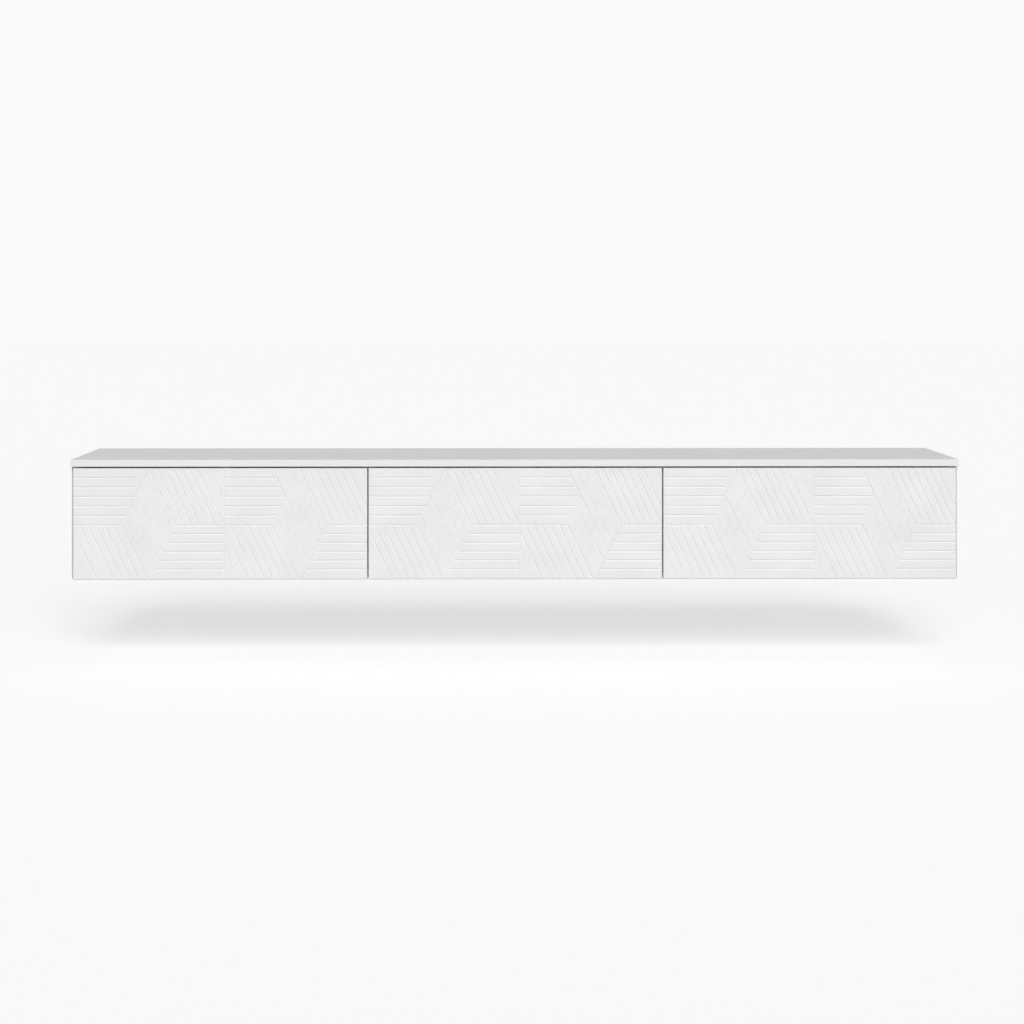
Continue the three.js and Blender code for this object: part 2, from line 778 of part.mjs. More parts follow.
/** The grooves of one tile from its left end. A plank may lie across its upper left slats. */
function tileGrooves(start, hasPlank) {
  const middle = start + tileLength / 2;
  const end = start + tileLength;
  const upperRun = slantRun(flapHeight - reliefMiddle);
  const leftCorner = middle - upperRun;
  const rightCorner = middle + upperRun;
  const inward = (steps) => slantRun(Math.abs(slatLine(steps) - reliefMiddle));
  const onLeft = (steps) => [leftCorner + inward(steps), slatLine(steps)];
  const onRight = (steps) => [rightCorner - inward(steps), slatLine(steps)];
  const slats = [
    [[start, reliefMiddle], [leftCorner, reliefMiddle]],
    [[rightCorner, reliefMiddle], [end, reliefMiddle]],
  ];
  if (hasPlank) {
    slats.push([[leftCorner, flapHeight], [middle, reliefMiddle]]);
    slats.push([[rightCorner, reliefMiddle], [rightCorner - slantRun(reliefMiddle), 0]]);
  } else {
    slats.push([[middle, flapHeight], onLeft(cornerSlats)]);
  }
  for (let i = 0; i <= slatCount; i += 1) {
    const along = (i / slatCount) * (end - rightCorner);
    slats.push([[middle + along, flapHeight], [middle + along + upperRun, reliefMiddle]]);
    const lower = leftCorner - i * slantPitch;
    const hidden = Math.max(start - lower, 0); // beyond the tile's left end
    const head = [lower + hidden, reliefMiddle - hidden / slantRun(1)];
    slats.push([head, [lower + slantRun(reliefMiddle), 0]]);
  }
  for (let i = 1; i < slatCount; i += 1) {
    const height = slatLine(i);
    const plankEdge = [leftCorner + slantRun(flapHeight - height), height];
    const edge = [Math.min(onLeft(i)[0], onLeft(slatCount / 2)[0]), height];
    slats.push([[start, height], hasPlank && i > slatCount / 2 ? plankEdge : edge]);
    slats.push([onRight(-i), [end, slatLine(-i)]]);
  }
  const chevrons = [[[end, 0], [end, flapHeight]]];
  for (let i = 1; i <= chevronCount; i += 1) {
    if (2 * i <= slatCount) {
      const reach = ((2 * i) / slatCount) * upperRun;
      const leftTurn = [leftCorner + reach, reliefMiddle];
      const rightTurn = [rightCorner - reach, reliefMiddle];
      chevrons.push([onLeft(i), leftTurn], [leftTurn, onLeft(-i)]);
      chevrons.push([onRight(i), rightTurn], [rightTurn, onRight(-i)]);
    } else {
      const upperTurn = [middle, slatLine(2 * i - slatCount)];
      const lowerTurn = [middle, slatLine(slatCount - 2 * i)];
      chevrons.push([onLeft(i), upperTurn], [upperTurn, onRight(i)]);
      chevrons.push([onLeft(-i), lowerTurn], [lowerTurn, onRight(-i)]);
    }
  }
  return [
    ...slats.map(([from, to]) => ({ from, to, ...slatGroove })),
    ...chevrons.map(([from, to]) => ({ from, to, ...chevronGroove })),
  ];
}

/** The cutter of a V groove between two [along, up] points on the face at depth 0. */
function grooveCutter({ from, to, width, depth }) {
  const direction = new THREE.Vector3(to[0] - from[0], 0, to[1] - from[1]);
  const length = direction.length();
  direction.normalize();
  const outward = new THREE.Vector3(0, -1, 0);
  const across = new THREE.Vector3().crossVectors(outward, direction);
  const half = (width / 2) * ((depth + overrun) / depth);
  const section = new THREE.Shape();
  section.moveTo(0, -depth);
  section.lineTo(half, overrun);
  section.lineTo(-half, overrun);
  const cutter = extrude("z", section, 0, length);
  const frame = new THREE.Matrix4().makeBasis(across, outward, direction);
  frame.setPosition(from[0], 0, from[1]);
  return cutter.applyMatrix4(frame);
}

/** A flap with its lower left front corner at the origin. */
function makeFlap() {
  const panel = extrude("y", rectangle(0, 0, flapHeight, flapLength), 0, flapThickness, boardEase);
  const bores = [hingeInset, flapLength - hingeInset].map((x) =>
    extrude(
      "y",
      circle(cupHeight, x, boreRadius, boreSides),
      flapThickness - cupDepth - cupPlay,
      flapThickness + overrun,
    ),
  );
  const grooves = [...tileGrooves(0, false), ...tileGrooves(tileLength, true)]
    .filter(({ from, width }) => from[0] < flapLength - width)
    .map(grooveCutter);
  return cut(panel, ...bores, ...grooves);
}

// Assembly

place("top_panel", makeTopPanel(), lacquer());
place("bottom_panel", makeBottomPanel(), lacquer());
place("side_panel_left", makeSidePanel(), lacquer(), -consoleLength / 2);
place("side_panel_right", makeSidePanel(), lacquer(), consoleLength / 2).scale.x = -1;
place("partition_left", makePartition(), lacquer(), -flapPitch / 2);
place("partition_right", makePartition(), lacquer(), flapPitch / 2);
place("wall_rail", makeWallRail(), steel());

const [leftBay, middleBay, rightBay] = bays;
place("back_panel_left", makeBackPanel(leftBay, true, false), lacquer());
place("back_panel_middle", makeBackPanel(middleBay, true, true), lacquer());
place("back_panel_right", makeBackPanel(rightBay, false, true), lacquer());
place("hanger_left_end", makeHanger(), zinc(), leftBay.low);
place("hanger_left_partition", makeHanger(), zinc(), middleBay.low);
place("hanger_right_partition", makeHanger(), zinc(), middleBay.high).scale.x = -1;
place("hanger_right_end", makeHanger(), zinc(), rightBay.high).scale.x = -1;

for (const bay of bays) {
  const flapLeft = bay.flapMiddle - flapLength / 2;
  const flapRight = bay.flapMiddle + flapLength / 2;
  place(`flap_${bay.name}`, makeFlap(), lacquer(), flapLeft, flapFront);
  place(`grommet_${bay.name}`, makeGrommet(), greyPlastic(), bay.flapMiddle, backFront, grommetHeight);
  place(`latch_body_${bay.name}`, makeLatchBody(), greyPlastic(), bay.flapMiddle, 0, latchHeight);
  place(`latch_plunger_${bay.name}`, makePlunger(), darkPlastic(), bay.flapMiddle, 0, latchHeight);
  place(`latch_strike_${bay.name}`, makeStrike(), steel(), bay.flapMiddle, flapBack, latchHeight);
  const ends = [
    { name: "a", hinge: flapLeft + hingeInset, upright: bay.low, hand: 1 },
    { name: "b", hinge: flapRight - hingeInset, upright: bay.high, hand: -1 },
  ];
  for (const end of ends) {
    const label = `${bay.name}_${end.name}`;
    place(`hinge_cup_${label}`, makeHingeCup(), zinc(), end.hinge, flapBack, cupHeight);
    place(`hinge_arm_${label}`, makeHingeArm(), steel(), end.hinge, pivotDepth, pivotHeight);
    const bracketDepth = pivotDepth + bracketBack;
    const bracketHeightUp = pivotHeight + bracketRise;
    const armLeft = end.hand > 0 ? end.upright + stayOffset : end.upright - stayOffset - stayThickness;
    const arm = place(`stay_arm_${label}`, makeStayArm(), steel(), armLeft, bracketDepth, bracketHeightUp);
    arm.rotation.x = stayTilt;
    const bracket = makeStayBracket();
    place(`stay_bracket_${label}`, bracket, steel(), end.upright, bracketDepth, bracketHeightUp).scale.x =
      end.hand;
    const stud = place(
      `stay_stud_${label}`,
      makeStayStud(),
      steel(),
      end.upright,
      pivotDepth + studBack,
      pivotHeight + studRise,
    );
    stud.scale.x = end.hand;
  }
}

// The console hangs on the wall by its rail, so the rail's back face carries the origin
const console3d = new THREE.Group();
consoleGroup.position.z = -railMiddle;
console3d.add(consoleGroup);

export default console3d;
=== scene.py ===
"""Looks of a wall-hung media console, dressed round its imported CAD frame.

Lengths are in metres, in the CAD's own frame: X along the console, Y to the wall, Z up.
"""

import json
import math
import random

import bmesh
import bpy
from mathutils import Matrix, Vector


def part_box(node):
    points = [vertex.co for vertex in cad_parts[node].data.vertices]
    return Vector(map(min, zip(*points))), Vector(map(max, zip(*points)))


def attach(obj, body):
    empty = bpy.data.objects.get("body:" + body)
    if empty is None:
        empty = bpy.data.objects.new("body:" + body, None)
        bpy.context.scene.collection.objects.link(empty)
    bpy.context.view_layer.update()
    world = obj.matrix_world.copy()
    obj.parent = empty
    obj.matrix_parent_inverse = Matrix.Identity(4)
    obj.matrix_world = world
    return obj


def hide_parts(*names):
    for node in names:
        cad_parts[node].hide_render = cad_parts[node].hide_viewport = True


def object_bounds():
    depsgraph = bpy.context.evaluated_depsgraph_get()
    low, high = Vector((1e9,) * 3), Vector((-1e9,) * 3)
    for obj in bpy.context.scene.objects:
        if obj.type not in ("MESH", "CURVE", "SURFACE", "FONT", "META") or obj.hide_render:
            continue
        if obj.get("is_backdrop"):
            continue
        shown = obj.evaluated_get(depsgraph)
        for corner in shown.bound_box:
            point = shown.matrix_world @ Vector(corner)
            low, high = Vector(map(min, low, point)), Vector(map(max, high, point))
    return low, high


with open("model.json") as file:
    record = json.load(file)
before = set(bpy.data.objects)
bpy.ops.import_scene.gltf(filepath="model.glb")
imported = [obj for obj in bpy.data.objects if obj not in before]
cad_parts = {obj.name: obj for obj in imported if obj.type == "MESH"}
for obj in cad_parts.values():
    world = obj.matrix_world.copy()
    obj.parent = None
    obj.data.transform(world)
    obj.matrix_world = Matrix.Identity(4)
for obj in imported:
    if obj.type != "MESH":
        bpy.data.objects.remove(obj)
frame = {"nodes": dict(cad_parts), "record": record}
cad_low, cad_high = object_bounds()
MM = 0.001
BAYS = ("left", "middle", "right")
nodes = frame["nodes"]
scene = bpy.context.scene
random.seed(7)

# Camera

CAMERA_BACK = 5.55  # from the top panel's front edge
CAMERA_LIFT = 0.441  # above the top panel
CAMERA_SIDE = -0.090  # from the console's middle
CAMERA_YAW = 0.0088  # in radians, towards the right
FOCAL = 72.28
SENSOR = 36
SHIFT_X = 0.0116
SHIFT_Y = -0.2107

camera_data = bpy.data.cameras.new("camera")
camera_data.lens = FOCAL
camera_data.sensor_width = SENSOR
camera_data.shift_x = SHIFT_X
camera_data.shift_y = SHIFT_Y
camera = bpy.data.objects.new("camera", camera_data)
camera.location = (CAMERA_SIDE, cad_low.y - CAMERA_BACK, cad_high.z + CAMERA_LIFT)
camera.rotation_euler = (math.pi / 2, 0, -CAMERA_YAW)
scene.collection.objects.link(camera)
scene.camera = camera

# Shader helpers


class Shader:
    """A material or world with its nodes, built by short calls."""

    def __init__(self, owner):
        owner.use_nodes = True
        self.tree = owner.node_tree
        self.tree.nodes.clear()

    def node(self, kind, **values):
        """Adds a node. Names of sockets set inputs, and other names set properties."""
        made = self.tree.nodes.new(kind)
        for key, value in values.items():
            socket = made.inputs.get(key.replace("_", " ")) if key[0].isupper() else None
            if socket is not None:
                socket.default_value = value
            else:
                setattr(made, key, value)
        return made

    def link(self, out, into):
        """Joins an output to an input."""
        self.tree.links.new(out, into)


def ramp(shader, source, stops):
    """A colour ramp from a factor, through (place, colour) stops."""
    made = shader.node("ShaderNodeValToRGB")
    elements = made.color_ramp.elements
    while len(elements) < len(stops):
        elements.new(0.5)
    for element, (place, colour) in zip(elements, stops):
        element.position = place
        element.color = (*colour, 1)
    shader.link(source, made.inputs["Fac"])
    return made.outputs["Color"]


def spread(shader, source, low, high):
    """A factor mapped from 0..1 to low..high."""
    made = shader.node("ShaderNodeMapRange")
    made.inputs["To Min"].default_value = low
    made.inputs["To Max"].default_value = high
    shader.link(source, made.inputs["Value"])
    return made.outputs["Result"]


def noise(shader, scale, detail, stretch=(1, 1, 1), roughness=0.5):
    """Noise in the object's own coordinates, in cycles a metre."""
    place = shader.node("ShaderNodeTexCoord")
    mapping = shader.node("ShaderNodeMapping")
    mapping.inputs["Scale"].default_value = [scale * s for s in stretch]
    shader.link(place.outputs["Object"], mapping.inputs["Vector"])
    made = shader.node("ShaderNodeTexNoise")
    made.inputs["Scale"].default_value = 1
    made.inputs["Detail"].default_value = detail
    made.inputs["Roughness"].default_value = roughness
    shader.link(mapping.outputs["Vector"], made.inputs["Vector"])
    return made.outputs["Fac"]


def finish_material(shader, colour, roughness, height, height_mm, **values):
    """The surface shader from a colour, a roughness and a height, each a socket."""
    surface = shader.node("ShaderNodeBsdfPrincipled")
    for key, value in values.items():
        surface.inputs[key.replace("_", " ")].default_value = value
    bump = shader.node("ShaderNodeBump")
    bump.inputs["Strength"].default_value = 1
    bump.inputs["Distance"].default_value = height_mm * MM
    shader.link(height, bump.inputs["Height"])
    shader.link(colour, surface.inputs["Base Color"])
    shader.link(roughness, surface.inputs["Roughness"])
    shader.link(bump.outputs["Normal"], surface.inputs["Normal"])
    out = shader.node("ShaderNodeOutputMaterial")
    shader.link(surface.outputs["BSDF"], out.inputs["Surface"])


def grey(value, warmth=0.0):
    """A neutral colour, made a little warmer or cooler."""
    return (value * (1 + warmth), value, value * (1 - warmth))


def lacquer_material(name, tone, cloud_scale, cloud, peel_mm):
    """Sprayed satin lacquer: faint clouds of tone, uneven sheen and a fine orange peel."""
    material = bpy.data.materials.new(name)
    shader = Shader(material)
    clouds = noise(shader, cloud_scale, 3.0, (1, 1, 1.6))
    stops = [(0.3, grey(tone - cloud, 0.004)), (0.7, grey(tone + cloud, 0.001))]
    colour = ramp(shader, clouds, stops)
    sheen = spread(shader, noise(shader, 22, 2.0), 0.42, 0.58)
    peel = noise(shader, 620, 2.0)
    finish_material(shader, colour, sheen, peel, peel_mm, Specular_IOR_Level=0.35)
    return material


def shaded_edge_material(name, painted_shade_tone, front):
    """The plain lacquer, with painted shade in a flat grey on what lies in front of a plane square
    to Y.
    """
    material = lacquer_material(name, *PLAIN_LACQUER)
    tree = material.node_tree
    surface = next(n for n in tree.nodes if n.type == "BSDF_PRINCIPLED")
    lacquer = surface.inputs["Base Color"].links[0].from_socket
    place = tree.nodes.new("ShaderNodeTexCoord")
    split = tree.nodes.new("ShaderNodeSeparateXYZ")
    test = tree.nodes.new("ShaderNodeMath")
    test.operation = "LESS_THAN"
    test.inputs[1].default_value = front
    mix = tree.nodes.new("ShaderNodeMix")
    mix.data_type = "RGBA"
    colours = [i for i in mix.inputs if i.type == "RGBA"]
    tree.links.new(place.outputs["Object"], split.inputs["Vector"])
    tree.links.new(split.outputs["Y"], test.inputs[0])
    tree.links.new(test.outputs["Value"], mix.inputs["Factor"])
    tree.links.new(lacquer, colours[0])
    colours[1].default_value = (*grey(painted_shade_tone), 1)
    result = next(o for o in mix.outputs if o.type == "RGBA")
    tree.links.new(result, surface.inputs["Base Color"])
    return material


def metal_material(name, tone, rough_low, rough_high, stretch, scale, grain_mm):
    """Plated or cast metal: fine grain that runs one way, with an uneven polish."""
    material = bpy.data.materials.new(name)
    shader = Shader(material)
    grain = noise(shader, scale, 4.0, stretch, 0.6)
    stops = [(0.3, grey(tone * 0.93)), (0.7, grey(tone * 1.05))]
    colour = ramp(shader, grain, stops)
    polish = spread(shader, noise(shader, 120, 3.0), rough_low, rough_high)
    finish_material(shader, colour, polish, grain, grain_mm, Metallic=1.0)
    return material


def spangle_material(name):
    """Hot-dipped zinc: crystals of slightly different grey and polish."""
    material = bpy.data.materials.new(name)
    shader = Shader(material)
    place = shader.node("ShaderNodeTexCoord")
    cells = shader.node("ShaderNodeTexVoronoi")
    cells.inputs["Scale"].default_value = 160
    shader.link(place.outputs["Object"], cells.inputs["Vector"])
    split = shader.node("ShaderNodeSeparateColor")
    shader.link(cells.outputs["Color"], split.inputs["Color"])
    stops = [(0.0, grey(0.47, -0.01)), (1.0, grey(0.60, -0.01))]
    colour = ramp(shader, split.outputs["Red"], stops)
    polish = spread(shader, split.outputs["Green"], 0.3, 0.5)
    finish_material(shader, colour, polish, split.outputs["Blue"], 0.004, Metallic=1.0)
    return material


def plastic_material(name, tone, rough_low, rough_high, grain_mm):
    """Moulded plastic with a fine spark-eroded grain."""
    material = bpy.data.materials.new(name)
    shader = Shader(material)
    clouds = noise(shader, 60, 2.0)
    colour = ramp(shader, clouds, [(0.35, grey(tone * 0.97)), (0.65, grey(tone * 1.03))])
    sheen = spread(shader, noise(shader, 150, 2.0), rough_low, rough_high)
    finish_material(shader, colour, sheen, noise(shader, 2600, 2.0), grain_mm)
    return material


# Lacquers as (tone, scale of the clouds, their depth, height of the orange peel in millimetres)
PLAIN_LACQUER = (0.80, 5, 0.012, 0.012)
CARVED_LACQUER = (0.81, 9, 0.018, 0.015)
# Painted shade: a flat grey on the front edges of the sides and partitions, which sit behind the
# flaps, stands in for the shade that falls there
EDGE_SHADE_TONE = 0.52
EDGE_SHADE_PLANE = -397.3 * MM  # 0.2 mm behind the front edges of the sides and partitions
MATERIALS = {
    "lacquer": lacquer_material("white_lacquer", *PLAIN_LACQUER),
    "carved_lacquer": lacquer_material("carved_white_lacquer", *CARVED_LACQUER),
    "plated_steel": metal_material("plated_steel", 0.62, 0.24, 0.38, (1, 6, 6), 240, 0.006),
    "galvanised_steel": spangle_material("galvanised_steel"),
    "zinc": metal_material("cast_zinc", 0.56, 0.34, 0.5, (1, 1, 1), 900, 0.01),
    "grey_plastic": plastic_material("grey_plastic", 0.58, 0.42, 0.56, 0.01),
    "dark_plastic": plastic_material("dark_plastic", 0.045, 0.4, 0.55, 0.01),
}
SLOT_OF = {part["node"]: part["material_slot"] for part in frame["record"]["subparts"]}


def dress(obj, slot):
    """Gives an object one material in every slot."""
    if not obj.material_slots:
        obj.data.materials.append(MATERIALS[slot])
    for place in obj.material_slots:
        place.material = MATERIALS[slot]


for name, obj in nodes.items():
    dress(obj, SLOT_OF[name])

# The sides and partitions take the lacquer with painted shade on their front edges
shaded_edges = shaded_edge_material("lacquer_with_painted_edge_shade", EDGE_SHADE_TONE, EDGE_SHADE_PLANE)
for name, obj in nodes.items():
    if name.startswith(("side_", "partition_")):
        for place in obj.material_slots:
            place.material = shaded_edges

# Mesh helpers

JOIN_DISTANCE = 0.002 * MM  # corners nearer than this are one corner


def add_piece(name, mesh, body, slot, replaced=()):
    """Adds a mesh as a piece that rides on a body."""
    obj = bpy.data.objects.new(name, mesh)
    scene.collection.objects.link(obj)
    dress(obj, slot)
    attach(obj, body)
    if replaced:
        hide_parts(*replaced)
    return obj


def plain_mesh(name, source):
    """A node's mesh with its split corners joined and no stored normals."""
    joined = bmesh.new()
    joined.from_mesh(source)
    bmesh.ops.remove_doubles(joined, verts=joined.verts, dist=JOIN_DISTANCE)
    joined.verts.index_update()
    corners = [tuple(v.co) for v in joined.verts]
    faces = [[v.index for v in f.verts] for f in joined.faces]
    joined.free()
    mesh = bpy.data.meshes.new(name)
    mesh.from_pydata(corners, [], faces)
    mesh.update()
    return mesh


def groove_prism(into, start, end, front, width, depth, taper):
    """Adds a V-shaped cutter along a line on a front face. Both ends run out to the surface."""
    over = 1.0 * MM
    line = Vector((end[0] - start[0], 0, end[1] - start[1]))
    length = line.length
    line.normalize()
    across = Vector((-line.z, 0, line.x))
    slope = width / 2 / depth
    rings = []
    for along, reach in ((0, 0), (taper, depth), (length - taper, depth), (length, 0)):
        place = Vector((start[0], front, start[1])) + line * along
        half = slope * (reach + over)
        rings.append(
            [
                into.verts.new(place + across * half - Vector((0, over, 0))),
                into.verts.new(place - across * half - Vector((0, over, 0))),
                into.verts.new(place + Vector((0, reach, 0))),
            ]
        )
    for a, b in zip(rings, rings[1:]):
        for i in range(3):
            j = (i + 1) % 3
            into.faces.new((a[i], a[j], b[j], b[i]))
    into.faces.new(rings[0][::-1])
    into.faces.new(rings[-1])


def carve(obj, grooves):
    """Cuts V grooves, a list of (start, end, front, width, depth, taper), out of a mesh object."""
    cutters = bmesh.new()
    for groove in grooves:
        groove_prism(cutters, *groove)
    bmesh.ops.recalc_face_normals(cutters, faces=cutters.faces)
    mesh = bpy.data.meshes.new("cutters")
    cutters.to_mesh(mesh)
    cutters.free()
    tool = bpy.data.objects.new("cutters", mesh)
    scene.collection.objects.link(tool)
    boolean = obj.modifiers.new("carve", "BOOLEAN")
    boolean.operation = "DIFFERENCE"
    boolean.solver = "EXACT"
    boolean.use_self = True
    boolean.object = tool
    bpy.context.view_layer.update()
    evaluated = obj.evaluated_get(bpy.context.evaluated_depsgraph_get())
    carved = bpy.data.meshes.new_from_object(evaluated)
    obj.modifiers.clear()
    obj.data = carved
    bpy.data.objects.remove(tool)
    bpy.data.meshes.remove(mesh)


# Carved fronts

TILE = 406.5 * MM
RELIEF_MIDDLE = 146.5 * MM
RELIEF_FOOT = 3 * MM
SLANT = math.tan(math.radians(25.5))
SLATS = 6
FINE = (3.4 * MM, 0.95 * MM)  # width and depth of a groove
FAINT = (2.8 * MM, 0.6 * MM)
TAPER = 3 * MM  # of a groove's ends
FOOT_CHAMFER = 2 * MM
FOOT_OVER = 8 * MM  # past the flap's ends

# Lines as (groove, points). A point is a lattice step, a sixth of the lozenge's half width, and a
# level, a slat's height, both counted from the lozenge's left corner.
BOTH_TILES = [
    (FINE, [(5, 5), (6, 4), (7, 5)]),
    (FINE, [(7, -5), (8, -6)]),
    (FAINT, [(21.6, 5.8), (21.1, 5.0)]),
    (FINE, [(20.1, 6), (20.4, 5.0), (22.3, 3.1)]),
    (FAINT, [(20.0, 4.9), (19.2, 4.1)]),
    (FAINT, [(20.7, 4.6), (22.3, 2.3)]),
    (FAINT, [(21.1, 4.1), (20.3, 3.4)]),
]
FIRST_TILE = [
    (FAINT, [(0.1, 6), (1.4, 4.8), (3.2, 3.9)]),
    (FAINT, [(1.4, 6), (3.4, 5.0)]),
    (FAINT, [(3.0, 6), (5.2, 4.6)]),
    (FINE, [(3.4, 2.95), (6, 0.2)]),
    (FINE, [(6, 2.0), (4.8, 0.9)]),
    (FAINT, [(9.1, 2.85), (6.4, 0.3)]),
    (FAINT, [(6.1, 3.0), (8.0, 1.9)]),
    (FINE, [(6.1, 2.1), (9.4, 0.9)]),
    (FINE, [(3.2, 0.8), (4.1, 0.4), (3.9, 0.1), (4.6, -0.3)]),
    (FINE, [(2.7, -0.9), (4.3, -1.8), (5.1, -1.1), (7.3, -2.3)]),
    (FAINT, [(4.2, -2.0), (6.3, -3.0), (8.0, -3.8)]),
    (FAINT, [(3.5, -0.3), (1.7, -0.9)]),
    (FAINT, [(5.6, -0.3), (5.0, -1.1)]),
    (FAINT, [(7.8, 0), (9.3, -0.9)]),
    (FAINT, [(8.6, -4.2), (11.8, -5.8)]),
    (FAINT, [(7.0, -5.0), (8.9, -6)]),
    (FAINT, [(21.7, -1.2), (20.4, -2.7), (18.5, -6)]),
    (FAINT, [(22.2, -2.7), (19.8, -6)]),
    (FAINT, [(22.2, -4.2), (20.8, -6)]),
    (FINE, [(-10.6, -2.1), (-9.3, -3.9), (-7.5, -6)]),
    (FAINT, [(-10.4, 2.3), (-6.8, 1.1)]),
    (FAINT, [(-8.8, 5.6), (-5.4, 4.6)]),
]
SECOND_TILE = [
    (FINE, [(1.7, 6), (3.7, 4.0)]),
    (FINE, [(3.5, 6), (4.6, 5.0)]),
    (FINE, [(4.3, 4.2), (5.6, 3.0), (7.0, 2.2), (9.2, 1.3)]),
    (FAINT, [(5.3, 6), (4.8, 5.1)]),
    (FAINT, [(4.4, 4.9), (2.8, 3.2)]),
    (FAINT, [(7.2, 4.1), (6.1, 3.4)]),
    (FAINT, [(5.6, 2.7), (4.6, 2.1), (4.4, 1.6)]),
    (FINE, [(5.6, 2.0), (6.8, 1.0), (8.2, 0.1)]),
    (FAINT, [(8.6, 2.8), (7.9, 2.0)]),
    (FAINT, [(7.5, 1.7), (6.6, 1.0), (5.9, 0.2)]),
    (FAINT, [(-9.3, 6), (-8.3, 5.0), (-7.0, 4.3)]),
    (FAINT, [(-6.7, 5.0), (-4.9, 4.3)]),
    (FAINT, [(-9.2, 3.9), (-7.1, 2.9), (-4.9, 2.2)]),
    (FAINT, [(-9.3, 1.8), (-7.2, 1.1)]),
    (FAINT, [(-8.7, 0.9), (-7.3, 0.3)]),
    (FINE, [(4.8, -1.4), (6.4, -2.4), (7.7, -3.8)]),
    (FAINT, [(6.8, -0.8), (4.8, -1.4)]),
    (FAINT, [(5.5, -2.8), (6.1, -3.7)]),
    (FINE, [(5.2, -3.6), (6.0, -4.1)]),
    (FINE, [(7.7, -1.5), (8.9, -2.8)]),
    (FAINT, [(7.5, -1.5), (6.4, -2.3)]),
    (FAINT, [(9.5, -0.4), (8.2, -1.6)]),
    (FINE, [(-10.6, -2.3), (-8.8, -5.0), (-7.9, -6)]),
    (FAINT, [(9.0, -3.5), (11.9, -3.2), (13.7, -2.1)]),
    (FINE, [(6.6, -5.5), (9.3, -4.9), (10.8, -4.4)]),
    (FAINT, [(10.1, -5.6), (12.2, -6)]),
    (FAINT, [(20.4, -2.7), (18.5, -6)]),
]


def lattice_point(tile, step, level, flap_height):
    """The place on the flap of a lattice step and level of a tile."""
    upper = flap_height - RELIEF_MIDDLE
    reach = upper if level >= 0 else RELIEF_MIDDLE - RELIEF_FOOT
    run = SLANT * upper / SLATS
    centre = tile * TILE + TILE / 2
    return (centre + (step - SLATS) * run, RELIEF_MIDDLE + level / SLATS * reach)


for bay in BAYS:
    node = f"flap_{bay}"
    low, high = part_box(node)
    height = high.z - low.z
    front_mesh = plain_mesh(f"carved_front_{bay}", nodes[node].data)
    front = add_piece(f"carved_front_{bay}", front_mesh, node, "carved_lacquer", [node])
    grooves = []
    lines = [(0, line) for line in BOTH_TILES + FIRST_TILE]
    lines += [(1, line) for line in BOTH_TILES + SECOND_TILE]
    for tile, ((width, depth), points) in lines:
        places = [lattice_point(tile, step, level, height) for step, level in points]
        for start, end in zip(places, places[1:]):
            a = (low.x + start[0], low.z + start[1])
            b = (low.x + end[0], low.z + end[1])
            grooves.append((a, b, low.y, width, depth, TAPER))
    foot = ((low.x - FOOT_OVER, low.z), (high.x + FOOT_OVER, low.z))
    grooves.append((*foot, low.y, FOOT_CHAMFER * 2, FOOT_CHAMFER, TAPER))
    carve(front, grooves)
    dress(front, "carved_lacquer")

# Turned and pressed pieces

X, Y, Z = Vector((1, 0, 0)), Vector((0, 1, 0)), Vector((0, 0, 1))
SHARP_ANGLE = math.radians(35)  # pieces are shaded smooth over edges that turn by less
SOFTENED_ANGLE = math.radians(28)  # and CAD edges that turn by more are rounded


def at(x, y, z):
    """A place given in millimetres: X from the middle, Y from the wall, Z from the underside."""
    return Vector((x * MM, y * MM, cad_low.z + z * MM))


def sides_of(axis):
    """Two directions square to an axis, so that the three make a right-handed frame."""
    first = Z.copy() if abs(axis.z) < 0.5 else X.copy()
    return first, axis.cross(first)


def close(into, name):
    """Ends a bmesh as a mesh whose normals point outwards, smooth but for its sharp edges."""
    bmesh.ops.recalc_face_normals(into, faces=into.faces)
    mesh = bpy.data.meshes.new(name)
    into.to_mesh(mesh)
    into.free()
    mesh.polygons.foreach_set("use_smooth", [True] * len(mesh.polygons))
    mesh.set_sharp_from_angle(angle=SHARP_ANGLE)
    return mesh


def lathe(into, place, axis, profile, count):
    """Adds (radius, along) points in millimetres turned round an axis. Radius 0 closes an end."""
    first, second = sides_of(axis)
    rings = []
    for radius, along in profile:
        middle = place + axis * along * MM
        if radius == 0:
            rings.append([into.verts.new(middle)])
            continue
        ring = []
        for i in range(count):
            angle = 2 * math.pi * i / count
            way = first * math.cos(angle) + second * math.sin(angle)
            ring.append(into.verts.new(middle + way * radius * MM))
        rings.append(ring)
    if profile[0][0] > 0:
        rings.append(rings[0])
    for a, b in zip(rings, rings[1:]):
        for i in range(count):
            j = (i + 1) % count
            if len(a) == 1:
                into.faces.new((a[0], b[j], b[i]))
            elif len(b) == 1:
                into.faces.new((a[i], a[j], b[0]))
            else:
                into.faces.new((a[i], a[j], b[j], b[i]))


def rounded(profile, at_points, radius, steps=3):
    """A profile with the corners at some of its points turned into small arcs."""
    result = []
    for i, (r, along) in enumerate(profile):
        if i not in at_points:
            result.append((r, along))
            continue
        before, here, after = (Vector(profile[k % len(profile)]) for k in (i - 1, i, i + 1))
        start = here + (before - here).normalized() * radius
        end = here + (after - here).normalized() * radius
        for k in range(steps + 1):
            t = k / steps
            point = start * (1 - t) ** 2 + here * 2 * t * (1 - t) + end * t**2
            result.append((point.x, point.y))
    return result


def prism(into, outline, axis, low, high, origin):
    """Adds an outline of (u, v) millimetres drawn out along an axis from low to high."""
    first, second = sides_of(axis)
    rings = []
    for along in (low, high):
        ring = []
        for u, v in outline:
            ring.append(into.verts.new(origin + (first * u + second * v + axis * along) * MM))
        rings.append(ring)
    count = len(outline)
    for i in range(count):
        j = (i + 1) % count
        into.faces.new((rings[0][i], rings[0][j], rings[1][j], rings[1][i]))
    into.faces.new(rings[0][::-1])
    into.faces.new(rings[1])


